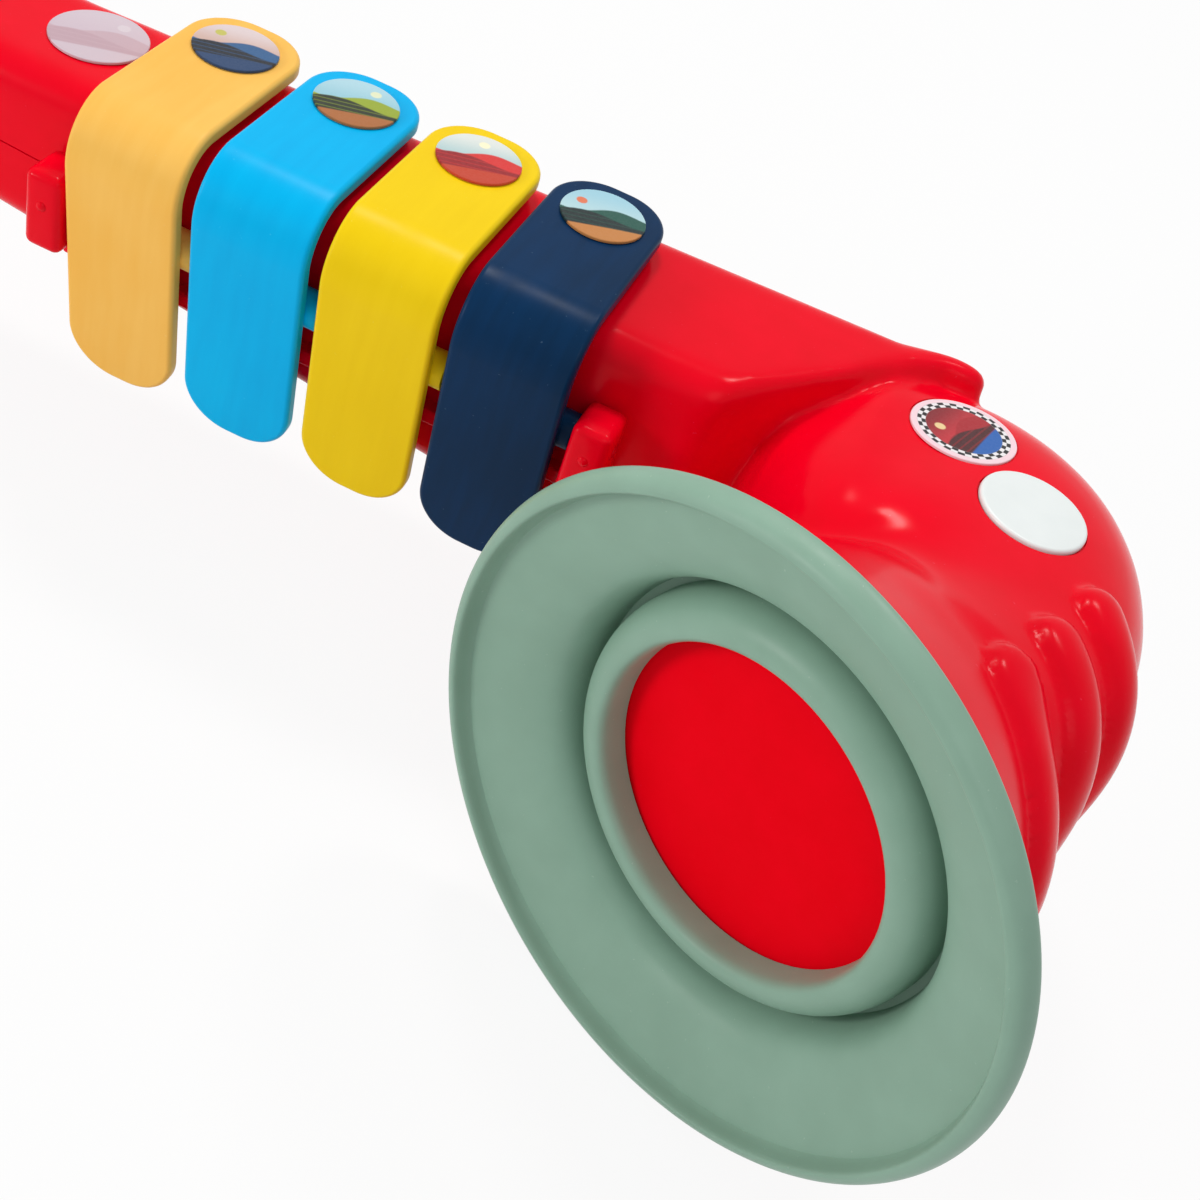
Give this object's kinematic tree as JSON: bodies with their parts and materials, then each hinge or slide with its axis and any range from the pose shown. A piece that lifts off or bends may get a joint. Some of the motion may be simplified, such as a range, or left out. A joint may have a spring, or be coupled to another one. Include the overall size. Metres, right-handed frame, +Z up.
{
  "type": "toy saxophone",
  "caption": "Toy saxophone lying on its side: tapered red body, bent bow, wide flared bell and a row of sprung lever keys.",
  "frame": {"origin": "middle of the bounding box, on the surface that the toy lies on", "axes": "+X from the mouthpiece toward the bow, along the body; the bell opens toward -Y and -X; +Z up, out of the key side"},
  "size_m": [0.3894, 0.1832, 0.108],
  "materials": {
    "red_plastic": "glossy moulded plastic",
    "red_disc": "smooth, satin",
    "grey_green_plastic": "satin moulded plastic",
    "orange_plastic": "semi-gloss",
    "light_blue_plastic": "semi-gloss",
    "yellow_plastic": "semi-gloss",
    "navy_plastic": "semi-gloss",
    "white_plastic": "satin",
    "plate_plastic": "plain",
    "printed_film": "printed, lightly coated",
    "soft_pad": "soft foam rubber",
    "steel": "plain drawn steel",
    "reed_brass": "rolled sheet"
  },
  "bodies": {
    "instrument": {"bell": "grey_green_plastic", "body_lower_half": "red_plastic", "body_upper_half": "red_plastic", "hinge_rod": "steel", "label_body": "printed_film", "label_bow": "printed_film", "mouthpiece": "grey_green_plastic", "neck": "red_plastic", "reed_1": "reed_brass", "reed_2": "reed_brass", "reed_3": "reed_brass", "reed_4": "reed_brass", "reed_plate_1": "plate_plastic", "reed_plate_2": "plate_plastic", "reed_plate_3": "plate_plastic", "reed_plate_4": "plate_plastic", "screw_1": "steel", "screw_2": "steel", "screw_3": "steel", "screw_4": "steel", "screw_5": "steel", "screw_6": "steel", "screw_7": "steel", "spring_1": "steel", "spring_2": "steel", "spring_3": "steel", "spring_4": "steel", "throat_disc": "red_disc", "white_button": "white_plastic"},
    "key_orange_lever": {"key_orange": "orange_plastic", "label_orange": "printed_film", "pad_1": "soft_pad"},
    "key_light_blue_lever": {"key_light_blue": "light_blue_plastic", "label_light_blue": "printed_film", "pad_2": "soft_pad"},
    "key_yellow_lever": {"key_yellow": "yellow_plastic", "label_yellow": "printed_film", "pad_3": "soft_pad"},
    "key_navy_lever": {"key_navy": "navy_plastic", "label_navy": "printed_film", "pad_4": "soft_pad"}
  },
  "joints": [
    {"name": "key_orange_press", "type": "hinge", "parent": "instrument", "child": "key_orange_lever", "pos_m": [0.01229, -0.00696, 0.05445], "axis": [0.9979, 0, 0.0649], "range_deg": [0, 11], "stiffness_Nm_per_rad": 0.05, "springref_deg": -5.73, "deforming": ["spring_1"]},
    {"name": "key_light_blue_press", "type": "hinge", "parent": "instrument", "child": "key_light_blue_lever", "pos_m": [0.03574, -0.00696, 0.05597], "axis": [0.9979, 0, 0.0649], "range_deg": [0, 11], "stiffness_Nm_per_rad": 0.05, "springref_deg": -5.73, "deforming": ["spring_2"]},
    {"name": "key_yellow_press", "type": "hinge", "parent": "instrument", "child": "key_yellow_lever", "pos_m": [0.05919, -0.00696, 0.05749], "axis": [0.9979, 0, 0.0649], "range_deg": [0, 11], "stiffness_Nm_per_rad": 0.05, "springref_deg": -5.73, "deforming": ["spring_3"]},
    {"name": "key_navy_press", "type": "hinge", "parent": "instrument", "child": "key_navy_lever", "pos_m": [0.08264, -0.00696, 0.05902], "axis": [0.9979, 0, 0.0649], "range_deg": [0, 11], "stiffness_Nm_per_rad": 0.05, "springref_deg": -5.73, "deforming": ["spring_4"]}
  ]
}
